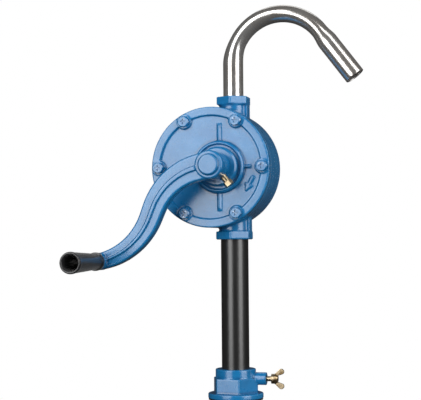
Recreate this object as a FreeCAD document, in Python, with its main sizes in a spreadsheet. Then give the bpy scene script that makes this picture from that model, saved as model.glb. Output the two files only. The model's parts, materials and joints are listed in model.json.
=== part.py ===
import FreeCAD, Part
import math
import os
import re

import Sketcher
from FreeCAD import Placement, Rotation, Vector

# Hand-cranked rotary vane pump for drums.
# Frame: Z up, origin on the suction tube's axis at the plane where the adaptor sits on the drum.
# The crank is at the front (-Y) and the clamp screw is on the right (+X).

DIMENSIONS = {
    # suction tube: one-inch pipe in three screwed lengths
    "tube_diameter": 34.0,
    "tube_bore": 28.0,
    "tube_top": 210.8,
    "tube_length": 350.0,
    "tube_gap": 0.5,
    "coupling_diameter": 42.0,
    "coupling_length": 40.0,
    "foot_diameter": 40.0,
    "foot_cover": 17.0,
    "foot_drop": 25.0,
    "foot_floor": 4.0,
    "foot_slots": 6,
    "foot_slot_width": 9.0,
    "foot_slot_height": 15.0,
    # bung adaptor with a two-inch parallel pipe thread
    "thread_diameter": 59.6,
    "thread_pitch": 2.309,
    "thread_depth": 1.4,
    "thread_crest": 0.5,
    "thread_rings": 8,
    "thread_run_out": 1.5,
    "gasket_thickness": 2.0,
    "gasket_diameter": 67.0,
    "flange_diameter": 68.0,
    "flange_thickness": 6.0,
    "adaptor_hex": 51.0,
    "adaptor_hex_turn": -10.0,
    "adaptor_hex_height": 18.3,
    "collar_diameter": 49.6,
    "collar_height": 11.1,
    "edge_break": 0.8,
    "guide_bore": 34.7,
    "packing_bottom": 30.0,
    "packing_height": 4.0,
    "packing_diameter": 41.0,
    # clamp screw
    "clamp_height": 25.6,
    "clamp_boss_diameter": 15.5,
    "clamp_boss_reach": 38.7,
    "screw_diameter": 6.2,
    "screw_start": 17.06,
    "screw_end": 51.0,
    "wing_hub_start": 45.0,
    "wing_hub_length": 8.0,
    "wing_hub_diameter": 12.0,
    "wing_nose_diameter": 8.0,
    "wing_thickness": 2.6,
    "wing_reach": 57.0,
    "wing_spread": 8.8,
    "wing_tip": 3.6,
    # pump casing
    "casing_diameter": 147.5,
    "casing_offset": 22.0,
    "shaft_height": 284.3,
    "eccentricity": 11.3,
    "chamber_diameter": 110.0,
    "casing_front": 22.2,
    "casing_rear": 37.0,
    "casing_rear_round": 4.0,
    "chamber_rear": 17.0,
    "rear_dish_diameter": 127.0,
    "rear_dish_depth": 11.0,
    "rear_boss_diameter": 40.0,
    "rear_boss_height": 9.8,
    "port_half_height": 88.2,
    "port_hex_height": 10.0,
    "outlet_hex": 38.0,
    "outlet_neck": 35.0,
    "inlet_hex": 41.5,
    "inlet_neck": 38.0,
    "port_web": 17.0,
    "port_depth": 15.0,
    "outlet_passage": 20.0,
    "inlet_passage": 26.0,
    # cover
    "seal_thickness": 0.8,
    "cover_thickness": 12.0,
    "cover_recess": 2.0,
    "cover_ring_bore": 125.6,
    "cover_relief": 0.4,
    "bolt_circle": 129.4,
    "bolt_count": 6,
    "bolt_diameter": 8.0,
    "bolt_hole": 9.0,
    "bolt_depth": 13.0,
    "bolt_head": 13.0,
    "bolt_head_height": 5.5,
    "bolt_boss_diameter": 17.4,
    "bolt_boss_height": 0.6,
    "bolt_slot": 1.6,
    "bolt_slot_depth": 1.4,
    "bearing_boss_diameter": 63.0,
    "bearing_boss_height": 6.5,
    "bearing_boss_break": 2.2,
    "bearing_rim_width": 3.6,
    "bearing_groove_depth": 3.0,
    "rib_crest": 1.2,
    "rib_width": 7.2,
    "rib_end_slope": 6.0,
    "rib_height": 2.2,
    "rib_reach": 55.6,
    "stub_rib_width": 5.8,
    "stub_rib_reach": 40.2,
    "arrow_length": 20.0,
    "arrow_width": 9.0,
    "arrow_radius": 42.7,
    "arrow_bearing": -29.4,
    # shaft, bearings and seal
    "shaft_diameter": 18.0,
    "running_clearance": 0.05,
    "bush_diameter": 26.0,
    "bush_length": 7.2,
    "rear_bush_diameter": 24.0,
    "rear_bush_length": 11.0,
    "seal_diameter": 32.0,
    "seal_length": 5.4,
    "retainer_diameter": 48.7,
    "retainer_break": 2.5,
    "retainer_height": 8.5,
    # rotor and vanes
    "rotor_gap": 0.1,
    "vane_thickness": 6.0,
    "vane_half_length": 53.5,
    # crank
    "hub_start": 46.5,
    "hub_front": 86.9,
    "hub_diameter": 34.0,
    "hub_round": 1.5,
    "hub_step": 1.2,
    "hub_disc_diameter": 24.3,
    "hub_disc_height": 2.7,
    "hub_wall": 5.0,
    "arm_thickness": 16.0,
    "arm_hub_width": 32.6,
    "arm_grip_width": 20.0,
    "arm_round": 2.6,
    "arm_bearing": 192.6,
    "arm_hub_run": 14.1,
    "arm_bend_radius": 77.4,
    "arm_bend_sweep": 55.6,
    "arm_middle_run": 12.3,
    "arm_return_radius": 85.0,
    "arm_return_sweep": 57.8,
    "arm_rib_width": 5.4,
    "arm_rib_end_width": 2.0,
    "arm_rib_height": 1.8,
    "grip_boss_diameter": 21.0,
    "grip_boss_front": 92.9,
    "set_screw_bearing": -51.0,
    "set_screw_forward": 56.5,
    "set_screw_reach": 24.5,
    "set_screw_head": 10.0,
    "set_screw_head_height": 6.0,
    # grip
    "spindle_diameter": 10.0,
    "spindle_seat": 74.9,
    "spindle_head_diameter": 14.6,
    "spindle_head_height": 5.0,
    "washer_thickness": 1.2,
    "grip_start": 93.3,
    "grip_length": 88.4,
    "grip_wall": 19.6,
    "grip_collar_diameter": 22.0,
    "grip_collar_length": 6.0,
    "grip_waist_diameter": 19.8,
    "grip_end_diameter": 25.4,
    "grip_inner_bore": 16.0,
    "grip_end_bore": 19.4,
    # discharge spout
    "spout_diameter": 25.0,
    "spout_wall": 1.5,
    "spout_flat": 20.8,
    "spout_wide": 27.4,
    "spout_bend_height": 413.0,
    "spout_bend_radius": 60.5,
    "spout_bend_sweep": 143.0,
    "spout_entry_sweep": 30.0,
    "spout_blend": 16.0,
    "spout_straight": 71.0,
}

DOC = FreeCAD.newDocument("DrumPump")
SHEET = DOC.addObject("Spreadsheet::Sheet", "Dimensions")
UP = Rotation()
FORWARD = Rotation(Vector(1, 0, 0), 90)
RIGHT = Rotation(Vector(0, 1, 0), 90)
SHAFT_X = "eccentricity - casing_offset"
TOUCHING = 1e-6
SUB_PARTS = []


def fill_sheet():
    for row, (alias, value) in enumerate(DIMENSIONS.items(), start=1):
        SHEET.set(f"A{row}", alias)
        SHEET.set(f"B{row}", str(value))
        SHEET.setAlias(f"B{row}", alias)
    DOC.recompute()


def cells(expression):
    """The expression with each dimension's name pointing at its cell."""
    return re.sub(
        r"[a-z][a-z_]+",
        lambda word: "Dimensions." + word[0] if word[0] in DIMENSIONS else word[0],
        str(expression),
    )


def value(expression):
    """What an expression comes to now, as a number."""
    answer = SHEET.evalExpression(cells(expression))
    return float(getattr(answer, "Value", answer))


def bind(thing, **expressions):
    for name, expression in expressions.items():
        thing.setExpression(name, cells(expression))
    return thing


def put(thing, at, turn=UP):
    """Place a thing by three expressions, turned by a fixed rotation."""
    thing.Placement = Placement(Vector(*(value(part) for part in at)), turn)
    for axis, part in zip("xyz", at):
        thing.setExpression("Placement.Base." + axis, cells(part))
    return thing


def at_shaft(forward="0"):
    return (SHAFT_X, f"-({forward})", "shaft_height"), FORWARD


def at_casing(forward="0"):
    return ("-casing_offset", f"-({forward})", "shaft_height"), FORWARD


def cylinder(name, diameter, length, at, turn=UP):
    rod = DOC.addObject("Part::Cylinder", name)
    bind(rod, Radius=f"({diameter}) / 2", Height=length)
    return put(rod, at, turn)


def box(name, low, size):
    block = DOC.addObject("Part::Box", name)
    bind(block, Length=size[0], Width=size[1], Height=size[2])
    return put(block, low)


def hexagon(name, across_flats, height, at, turn=UP):
    prism = DOC.addObject("Part::Prism", name)
    prism.Polygon = 6
    bind(prism, Circumradius=f"({across_flats}) / 2 / cos(30)", Height=height)
    return put(prism, at, turn)


def fuse(name, pieces):
    joined = DOC.addObject("Part::MultiFuse", name)
    joined.Shapes = pieces
    joined.Refine = True
    return joined


def cut(name, base, tools):
    if len(tools) > 1:
        tools = [fuse(name + "_tools", tools)]
    left = DOC.addObject("Part::Cut", name)
    left.Base = base
    left.Tool = tools[0]
    return left


def sub_part(thing, label):
    """Give a finished piece the name that its file takes."""
    thing.Label = label
    SUB_PARTS.append(thing)
    return thing


def new_sketch(body, plane):
    sketch = body.newObject("Sketcher::SketchObject", body.Name + "_outline")
    origin = next(f for f in body.Origin.OriginFeatures if f.Role == plane)
    sketch.AttachmentSupport = (origin, [""])
    sketch.MapMode = "FlatFace"
    return sketch


def hold(sketch, geometry, axis, expression):
    """Fix where a line starts, along one axis, by an expression."""
    on_axis = -2 if axis == "X" else -1
    if expression == "0":
        sketch.addConstraint(Sketcher.Constraint("PointOnObject", geometry, 1, on_axis))
        return
    distance = Sketcher.Constraint("Distance" + axis, -1, 1, geometry, 1, value(expression))
    index = sketch.addConstraint(distance)
    sketch.setExpression(f"Constraints[{index}]", cells(expression))


def draw_outline(sketch, corners):
    """A closed outline of straight lines, with every corner held by expressions."""
    points = [Vector(value(across), value(along), 0) for across, along in corners]
    count = len(points)
    for i, point in enumerate(points):
        sketch.addGeometry(Part.LineSegment(point, points[(i + 1) % count]))
    for i in range(count):
        sketch.addConstraint(Sketcher.Constraint("Coincident", i, 2, (i + 1) % count, 1))
    for i, (across, along) in enumerate(corners):
        hold(sketch, i, "X", across)
        hold(sketch, i, "Y", along)


def turned(name, outline, at, turn=UP):
    """A body turned from an outline of (radius, height) pairs."""
    body = DOC.addObject("PartDesign::Body", name)
    sketch = new_sketch(body, "XZ_Plane")
    draw_outline(sketch, outline)
    spin = body.newObject("PartDesign::Revolution", name + "_turn")
    spin.Profile = sketch
    spin.ReferenceAxis = (sketch, ["V_Axis"])
    spin.Angle = 360
    return put(body, at, turn)


def plate(name, edges, start, thickness, at, turn):
    """A body padded from curves in its own XY plane, between two heights."""
    body = DOC.addObject("PartDesign::Body", name)
    sketch = new_sketch(body, "XY_Plane")
    for edge in edges:
        sketch.addGeometry(edge)
    sketch.AttachmentOffset = Placement(Vector(0, 0, value(start)), UP)
    sketch.setExpression("AttachmentOffset.Base.z", cells(start))
    pad = body.newObject("PartDesign::Pad", name + "_pad")
    pad.Profile = sketch
    bind(pad, Length=thickness)
    return put(body, at, turn)


def ring(name, outer, inner, start, length, at, turn=UP):
    outline = [
        (f"({inner}) / 2", start),
        (f"({outer}) / 2", start),
        (f"({outer}) / 2", f"{start} + {length}"),
        (f"({inner}) / 2", f"{start} + {length}"),
    ]
    return turned(name, outline, at, turn)


def around(name, count, radius, make, at, turn):
    """Copies of a tool around a circle, each made from its angle in degrees."""
    pieces = []
    for i in range(int(value(count))):
        angle = f"{i} * 360 / {count}"
        spot = (f"{at[0]} + {radius} * cos({angle})", at[1], f"{at[2]} + {radius} * sin({angle})")
        pieces.append(make(f"{name}_{i}", spot, turn))
    return pieces


def bung_adaptor():
    flange_top = "gasket_thickness + flange_thickness"
    hex_top = f"{flange_top} + adaptor_hex_height"
    collar_top = f"{hex_top} + collar_height"
    crest = "thread_diameter / 2"
    root = "thread_diameter / 2 - thread_depth"
    first = "-thread_run_out"
    outline = [
        ("guide_bore / 2", collar_top),
        ("guide_bore / 2", f"{first} - thread_rings * thread_pitch"),
    ]
    for i in range(int(DIMENSIONS["thread_rings"]), 0, -1):
        low = f"{first} - {i} * thread_pitch"
        outline.append((crest, low))
        outline.append((crest, f"{low} + thread_crest"))
        outline.append((root, f"{low} + (thread_pitch + thread_crest) / 2"))
    outline += [
        (crest, first),
        (crest, "0"),
        (root, "0"),
        (root, "gasket_thickness"),
        ("flange_diameter / 2", "gasket_thickness"),
        ("flange_diameter / 2", f"{flange_top} - edge_break"),
        ("flange_diameter / 2 - edge_break", flange_top),
        ("collar_diameter / 2", flange_top),
        ("collar_diameter / 2", f"{collar_top} - edge_break"),
        ("collar_diameter / 2 - edge_break", collar_top),
    ]
    turning = turned("adaptor_turning", outline, ("0", "0", "0"))
    turn = Rotation(Vector(0, 0, 1), value("adaptor_hex_turn"))
    flats = hexagon("adaptor_flats", "adaptor_hex", "adaptor_hex_height", ("0", "0", flange_top), turn)
    boss = cylinder(
        "adaptor_boss", "clamp_boss_diameter", "clamp_boss_reach", ("0", "0", "clamp_height"), RIGHT
    )
    solid = fuse("adaptor_solid", [turning, flats, boss])
    guide = cylinder("adaptor_guide", "guide_bore", collar_top, ("0", "0", "0"))
    recess = cylinder("adaptor_recess", "packing_diameter", "packing_height", ("0", "0", "packing_bottom"))
    screw_hole = "screw_diameter + 2 * running_clearance"
    tapping = cylinder(
        "adaptor_tapping", screw_hole, "clamp_boss_reach + edge_break", ("0", "0", "clamp_height"), RIGHT
    )
    sub_part(cut("adaptor_body", solid, [guide, recess, tapping]), "bung_adaptor")


def adaptor_seals():
    gasket = ring(
        "gasket_ring", "gasket_diameter", "thread_diameter + edge_break",
        "0", "gasket_thickness", ("0", "0", "0"),
    )
    sub_part(gasket, "bung_gasket")
    packing = ring(
        "packing_ring", "packing_diameter - edge_break / 4", "tube_diameter + 2 * running_clearance",
        "packing_bottom + edge_break / 8", "packing_height - edge_break / 4", ("0", "0", "0"),
    )
    sub_part(packing, "tube_packing")


def clamp_screw():
    chamfer = "edge_break"
    stem_outline = [
        ("0", "screw_start"),
        (f"screw_diameter / 2 - {chamfer}", "screw_start"),
        ("screw_diameter / 2", f"screw_start + {chamfer}"),
        ("screw_diameter / 2", "screw_end"),
        ("0", "screw_end"),
    ]
    axis = ("0", "0", "clamp_height")
    sub_part(turned("stem_turning", stem_outline, axis, RIGHT), "wing_screw_stem")
    socket = "screw_diameter / 2 + running_clearance"
    hub_outline = [
        ("0", "screw_end + running_clearance"),
        (socket, "screw_end + running_clearance"),
        (socket, "wing_hub_start"),
        ("wing_hub_diameter / 2", "wing_hub_start"),
        ("wing_hub_diameter / 2", "wing_hub_start + wing_hub_length / 2"),
        ("wing_nose_diameter / 2", "wing_hub_start + wing_hub_length"),
        ("0", "wing_hub_start + wing_hub_length"),
    ]
    hub = turned("wing_hub", hub_outline, axis, RIGHT)
    wings = [wing(name, side, axis) for name, side in (("wing_upper", 1), ("wing_lower", -1))]
    sub_part(fuse("wing_fused", [hub, *wings]), "wing_head")


def wing(name, side, axis):
    """One ear of the clamp screw: a flat blade that widens to a round tip."""
    tip = Vector(value("wing_reach"), side * value("wing_spread"), 0)
    radius = value("wing_tip")
    out = Vector(tip.x - value("wing_hub_start"), tip.y, 0).normalize()
    beside = Vector(-out.y, out.x, 0)
    root = value("screw_diameter / 2 + 2 * running_clearance") * side
    left_root = Vector(value("wing_hub_start + wing_hub_length / 8"), root, 0)
    right_root = Vector(value("wing_hub_start + wing_hub_length * 3 / 4"), root, 0)
    outer = tip + beside * radius * side
    inner = tip - beside * radius * side
    edges = [
        Part.LineSegment(right_root, left_root),
        Part.LineSegment(left_root, outer),
        Part.Arc(outer, tip + out * radius, inner),
        Part.LineSegment(inner, right_root),
    ]
    return plate(name, edges, "-wing_thickness / 2", "wing_thickness", axis, FORWARD)


def tube_lengths():
    """Three pipes end to end, top first, and the couplings that join them."""
    step = "(tube_length + tube_gap)"
    for i, label in enumerate(("upper_tube", "middle_tube", "lower_tube")):
        low = f"tube_top - tube_length - {i} * {step}"
        pipe = ring(label + "_pipe", "tube_diameter", "tube_bore", low, "tube_length", ("0", "0", "0"))
        sub_part(pipe, label)
    for i, label in enumerate(("upper_coupling", "lower_coupling"), start=1):
        middle = f"tube_top + tube_gap / 2 - {i} * {step}"
        outline = [
            ("tube_diameter / 2", f"{middle} - coupling_length / 2"),
            ("coupling_diameter / 2 - edge_break", f"{middle} - coupling_length / 2"),
            ("coupling_diameter / 2", f"{middle} - coupling_length / 2 + edge_break"),
            ("coupling_diameter / 2", f"{middle} + coupling_length / 2 - edge_break"),
            ("coupling_diameter / 2 - edge_break", f"{middle} + coupling_length / 2"),
            ("tube_diameter / 2", f"{middle} + coupling_length / 2"),
        ]
        sub_part(turned(label + "_sleeve", outline, ("0", "0", "0")), label)


def foot_strainer():
    """A cup on the lowest pipe, with slots below the pipe's end."""
    tube_end = "tube_top - 3 * tube_length - 2 * tube_gap"
    floor = f"{tube_end} - foot_drop"
    outline = [
        ("0", floor),
        ("foot_diameter / 2 - edge_break", floor),
        ("foot_diameter / 2", f"{floor} + edge_break"),
        ("foot_diameter / 2", f"{tube_end} + foot_cover"),
        ("tube_diameter / 2", f"{tube_end} + foot_cover"),
        ("tube_diameter / 2", f"{floor} + foot_floor"),
        ("0", f"{floor} + foot_floor"),
    ]
    cup = turned("foot_cup", outline, ("0", "0", "0"))
    slots = []
    for i in range(DIMENSIONS["foot_slots"] // 2):
        slot = DOC.addObject("Part::Box", f"foot_slot_{i}")
        bind(slot, Length="2 * foot_diameter", Width="foot_slot_width", Height="foot_slot_height")
        turn = Rotation(Vector(0, 0, 1), i * 360 / DIMENSIONS["foot_slots"])
        corner = turn.multVec(Vector(-value("foot_diameter"), -value("foot_slot_width / 2"), 0))
        put(slot, (str(corner.x), str(corner.y), f"{floor} + foot_floor + edge_break"), turn)
        slots.append(slot)
    sub_part(cut("foot_cut", cup, slots), "foot_strainer")


def bolt_rods(name, diameter, start, length):
    """One rod at each cover bolt, running forward from a distance."""
    middle = ("-casing_offset", f"-({start})", "shaft_height")
    return around(
        name, "bolt_count", "bolt_circle / 2",
        lambda label, at, turn: cylinder(label, diameter, length, at, turn),
        middle, FORWARD,
    )


def port(name, up, hexagon_size, neck, seat, passage):
    """The solids to add and to remove for one port; up is 1 for the outlet and -1 for the inlet."""
    end = f"shaft_height + {up} * port_half_height"
    shoulder = f"shaft_height + {up} * (port_half_height - port_hex_height)"
    hex_low, bore_low = (shoulder, f"{end} - port_depth") if up > 0 else (end, end)
    neck_low = "shaft_height" if up > 0 else shoulder
    reach = "port_half_height - port_hex_height"
    corner_forward = Rotation(Vector(0, 0, 1), 30)
    add = [
        hexagon(name + "_hex", hexagon_size, "port_hex_height", ("0", "0", hex_low), corner_forward),
        cylinder(name + "_neck", neck, reach, ("0", "0", neck_low)),
        box(name + "_web", ("0", "-port_web / 2", neck_low), (f"{hexagon_size} / 2", "port_web", reach)),
    ]
    remove = [
        cylinder(name + "_seat", f"{seat} + 2 * running_clearance", "port_depth", ("0", "0", bore_low)),
        cylinder(
            name + "_passage", passage, "port_half_height",
            ("0", "0", "shaft_height" if up > 0 else end),
        ),
    ]
    return add, remove


def pump_casing():
    depth = "casing_rear + casing_front"
    drum_outline = [
        ("0", "-casing_rear"),
        ("casing_diameter / 2 - casing_rear_round", "-casing_rear"),
        ("casing_diameter / 2 - casing_rear_round / 4", "-casing_rear + casing_rear_round / 4"),
        ("casing_diameter / 2", "-casing_rear + casing_rear_round"),
        ("casing_diameter / 2", "casing_front"),
        ("0", "casing_front"),
    ]
    drum = turned("casing_drum", drum_outline, *at_casing())
    dish_floor = "-casing_rear + rear_dish_depth"
    dish_outline = [
        ("0", "-casing_rear - edge_break"),
        ("rear_dish_diameter / 2", "-casing_rear - edge_break"),
        ("rear_dish_diameter / 2 - cover_recess", dish_floor),
        ("0", dish_floor),
    ]
    dish = turned("casing_rear_dish", dish_outline, *at_casing())
    rear = f"{dish_floor} - rear_boss_height"
    boss_outline = [
        ("0", rear),
        ("rear_boss_diameter / 2 - cover_recess", rear),
        ("rear_boss_diameter / 2", f"{rear} + cover_recess"),
        ("rear_boss_diameter / 2 + cover_recess", f"{dish_floor} + edge_break"),
        ("0", f"{dish_floor} + edge_break"),
    ]
    boss = turned("casing_rear_boss", boss_outline, *at_shaft())
    outlet_add, outlet_remove = port(
        "outlet", 1, "outlet_hex", "outlet_neck", "spout_diameter", "outlet_passage"
    )
    inlet_add, inlet_remove = port(
        "inlet", -1, "inlet_hex", "inlet_neck", "tube_diameter", "inlet_passage"
    )
    dished = cut("casing_dished", drum, [dish])
    solid = fuse("casing_solid", [dished, boss, *outlet_add, *inlet_add])
    chamber = cylinder("casing_chamber", "chamber_diameter", depth, *at_casing("-chamber_rear"))
    bearing = cylinder(
        "casing_bearing", "rear_bush_diameter", "rear_bush_length + 2 * edge_break",
        *at_shaft("-chamber_rear - rear_bush_length - edge_break"),
    )
    cover_space = cylinder(
        "casing_cover_space", "casing_diameter + 2 * cover_relief", depth, *at_casing("casing_front")
    )
    threads = bolt_rods(
        "casing_thread", "bolt_diameter + running_clearance",
        "casing_front - bolt_depth", "bolt_depth + edge_break",
    )
    tools = [chamber, bearing, cover_space, *threads, *outlet_remove, *inlet_remove]
    sub_part(cut("casing_cut", solid, tools), "pump_casing")


def cover_gasket():
    sheet = ring(
        "gasket_sheet", "casing_diameter - edge_break / 2", "chamber_diameter + edge_break",
        "casing_front", "seal_thickness", *at_casing(),
    )
    holes = bolt_rods("gasket_hole", "bolt_hole", "casing_front - edge_break", "cover_thickness")
    sub_part(cut("gasket_cut", sheet, holes), "cover_gasket")


def cover_rib(name, crest, base):
    """A ridge on the cover's face between two rectangles: low X, high X, low Z, high Z from the shaft."""
    rib = DOC.addObject("Part::Wedge", name)
    bind(rib, Ymin="0", Xmin=crest[0], Xmax=crest[1], Zmin=crest[2], Zmax=crest[3])
    bind(rib, Ymax="rib_height + edge_break", X2min=base[0], X2max=base[1], Z2min=base[2], Z2max=base[3])
    face = "casing_front + seal_thickness + cover_thickness - cover_recess"
    return put(rib, (SHAFT_X, f"-({face} + rib_height)", "shaft_height"))


def direction_arrow(face):
    """A plain raised arrow beside the bearing, pointing the way that the crank turns."""
    long, wide = value("arrow_length / 2"), value("arrow_width / 2")
    bearing = math.radians(value("arrow_bearing"))
    away = Vector(math.cos(bearing), math.sin(bearing), 0)
    ahead = Vector(away.y, -away.x, 0)
    middle = away * value("arrow_radius")
    shape = [(-1, 0.4), (0.1, 0.4), (0.1, 1), (1, 0), (0.1, -1), (0.1, -0.4), (-1, -0.4)]
    points = [middle + ahead * (long * along) + away * (wide * across) for along, across in shape]
    edges = [Part.LineSegment(a, b) for a, b in zip(points, points[1:] + points[:1])]
    at, turn = at_shaft(face)
    return plate("cover_arrow", edges, "-edge_break", "edge_break + rib_height / 2", at, turn)


def front_cover():
    back = "casing_front + seal_thickness"
    front = f"{back} + cover_thickness"
    face = f"{front} - cover_recess"
    plate_outline = [
        ("0", back),
        ("casing_diameter / 2", back),
        ("casing_diameter / 2", f"{front} - edge_break"),
        ("casing_diameter / 2 - edge_break", front),
        ("cover_ring_bore / 2 + edge_break", front),
        ("cover_ring_bore / 2", face),
        ("0", face),
    ]
    disc = turned("cover_disc", plate_outline, *at_casing())
    boss_front = f"{face} + bearing_boss_height"
    groove = f"{boss_front} - bearing_groove_depth"
    boss_outline = [
        ("0", back),
        ("bearing_boss_diameter / 2", back),
        ("bearing_boss_diameter / 2", f"{boss_front} - bearing_boss_break"),
        ("bearing_boss_diameter / 2 - bearing_boss_break", boss_front),
        ("bearing_boss_diameter / 2 - bearing_rim_width", boss_front),
        ("bearing_boss_diameter / 2 - bearing_rim_width", groove),
        ("0", groove),
    ]
    boss = turned("cover_boss", boss_outline, *at_shaft())
    pads = bolt_rods("cover_pad", "bolt_boss_diameter", back, "cover_thickness + bolt_boss_height")
    crest = ("-rib_crest / 2", "rib_crest / 2")
    ribs = [
        cover_rib(
            "cover_rib_long",
            (*crest, "rib_end_slope - rib_reach", "rib_reach - rib_end_slope"),
            ("-rib_width / 2", "rib_width / 2", "-rib_reach", "rib_reach"),
        ),
        cover_rib(
            "cover_rib_stub",
            ("0", "stub_rib_reach - rib_end_slope / 2", *crest),
            ("0", "stub_rib_reach", "-stub_rib_width / 2", "stub_rib_width / 2"),
        ),
    ]
    solid = fuse("cover_solid", [disc, boss, *pads, *ribs, direction_arrow(face)])
    bore = cylinder(
        "cover_bush_bore", "bush_diameter", "bush_length + seal_thickness", *at_shaft(back)
    )
    seal_bore = cylinder(
        "cover_seal_bore", "seal_diameter", "cover_thickness + bearing_boss_height",
        *at_shaft(f"{back} + bush_length + seal_thickness / 2"),
    )
    holes = bolt_rods("cover_hole", "bolt_hole", "0", "2 * cover_thickness + casing_front")
    sub_part(cut("cover_cut", solid, [bore, seal_bore, *holes]), "front_cover")


def cover_bolts():
    """Six equal hexagon bolts with cross recesses, kept as one group of solids."""
    seat = "casing_front + seal_thickness + cover_thickness + bolt_boss_height"
    tip = "casing_front - bolt_depth + cover_recess"
    shanks = bolt_rods("bolt_shank", "bolt_diameter", tip, f"{seat} - ({tip}) + edge_break")
    crown_start = f"{seat} + bolt_head_height"
    bolts = []
    for i, shank in enumerate(shanks):
        angle = f"{i} * 360 / bolt_count"
        spot = (
            f"bolt_circle / 2 * cos({angle}) - casing_offset",
            f"-({seat})",
            f"shaft_height + bolt_circle / 2 * sin({angle})",
        )
        flats = hexagon(f"bolt_flats_{i}", "bolt_head", "bolt_head_height", spot, FORWARD)
        dome_outline = [
            ("0", "0"),
            ("bolt_head / 2 + edge_break", "0"),
            ("bolt_head / 2 + edge_break", "bolt_head_height - 2 * edge_break"),
            ("bolt_head / 2 - edge_break", "bolt_head_height"),
            ("0", "bolt_head_height"),
        ]
        dome = turned(f"bolt_dome_{i}", dome_outline, spot, FORWARD)
        head = DOC.addObject("Part::MultiCommon", f"bolt_head_{i}")
        head.Shapes = [flats, dome]
        bolt = fuse(f"bolt_solid_{i}", [head, shank])
        slots = []
        cross = [("bolt_head / 2", "bolt_slot"), ("bolt_slot", "bolt_head / 2")]
        for part, (across, upward) in enumerate(cross):
            low = (
                f"{spot[0]} - ({across}) / 2",
                f"-({crown_start}) - edge_break",
                f"{spot[2]} - ({upward}) / 2",
            )
            slots.append(
                box(f"bolt_slot_{i}_{part}", low, (across, "bolt_slot_depth + edge_break", upward))
            )
        bolts.append(cut(f"bolt_{i}", bolt, slots))
    group = DOC.addObject("Part::Compound", "bolt_group")
    group.Links = bolts
    sub_part(group, "cover_bolts")


def bearings_and_seal():
    back = "casing_front + seal_thickness"
    shaft_hole = "shaft_diameter + 2 * running_clearance"
    seal_start = f"{back} + bush_length + seal_thickness / 2"
    front = ring(
        "front_bush_ring", "bush_diameter", shaft_hole,
        f"{back} + running_clearance", "bush_length", *at_shaft(),
    )
    sub_part(front, "front_bush")
    rear = ring(
        "rear_bush_ring", "rear_bush_diameter", shaft_hole,
        "-chamber_rear - rear_bush_length - running_clearance", "rear_bush_length", *at_shaft(),
    )
    sub_part(rear, "rear_bush")
    seal = ring(
        "shaft_seal_ring", "seal_diameter", shaft_hole,
        f"{seal_start} + running_clearance", "seal_length", *at_shaft(),
    )
    sub_part(seal, "shaft_seal")
    seat = f"{back} + cover_thickness - cover_recess + bearing_boss_height - bearing_groove_depth"
    bore = f"({shaft_hole}) / 2 + edge_break / 4"
    outline = [
        (bore, f"{seal_start} + seal_length + 2 * running_clearance"),
        ("seal_diameter / 2 - running_clearance", f"{seal_start} + seal_length + 2 * running_clearance"),
        ("seal_diameter / 2 - running_clearance", seat),
        ("retainer_diameter / 2", seat),
        ("retainer_diameter / 2", f"{seat} + retainer_height - retainer_break"),
        ("retainer_diameter / 2 - retainer_break", f"{seat} + retainer_height"),
        (bore, f"{seat} + retainer_height"),
    ]
    sub_part(turned("retainer_turning", outline, *at_shaft()), "seal_retainer")


def rotor_shaft():
    """Rotor and shaft in one piece, with a slot right through the rotor for the vanes."""
    rear = "-chamber_rear + rotor_gap"
    front = "casing_front + seal_thickness - rotor_gap"
    journal = "shaft_diameter / 2"
    rotor = "chamber_diameter / 2 - eccentricity - rotor_gap"
    outline = [
        ("0", "-chamber_rear - rear_bush_length"),
        (journal, "-chamber_rear - rear_bush_length"),
        (journal, rear),
        (rotor, rear),
        (rotor, front),
        (journal, front),
        (journal, "hub_front - hub_wall - edge_break"),
        ("0", "hub_front - hub_wall - edge_break"),
    ]
    turning = turned("rotor_turning", outline, *at_shaft())
    slot = box(
        "rotor_slot",
        (f"{SHAFT_X} - ({rotor}) - edge_break",
         f"-({front})",
         "shaft_height - vane_thickness / 2 - running_clearance"),
        (f"2 * ({rotor}) + 2 * edge_break",
         f"{front} - ({rear})",
         "vane_thickness + 2 * running_clearance"),
    )
    sub_part(cut("rotor_cut", turning, [slot]), "rotor_shaft")


def vanes():
    """Two vanes in one slot, kept apart by a round rod; at rest the three are centred in the chamber."""
    rear = "-chamber_rear + 2 * rotor_gap"
    width = "casing_front + seal_thickness + chamber_rear - 4 * rotor_gap"
    at, turn = at_casing()
    rod = cylinder(
        "spacer_rod", "vane_thickness - 2 * running_clearance", width, *at_casing(rear)
    )
    sub_part(rod, "vane_spacer_rod")
    half = value("vane_thickness / 2")
    near = value("vane_thickness / 2 + running_clearance")
    tip = value("vane_half_length")
    for label, side in (("vane_left", -1), ("vane_right", 1)):
        root_low = Vector(side * near, -half, 0)
        root_high = Vector(side * near, half, 0)
        nose_low = Vector(side * (tip - half), -half, 0)
        nose_high = Vector(side * (tip - half), half, 0)
        edges = [
            Part.LineSegment(root_high, root_low),
            Part.LineSegment(root_low, nose_low),
            Part.Arc(nose_low, Vector(side * tip, 0, 0), nose_high),
            Part.LineSegment(nose_high, root_high),
        ]
        sub_part(plate(label + "_blade", edges, rear, width, at, turn), label)


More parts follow.
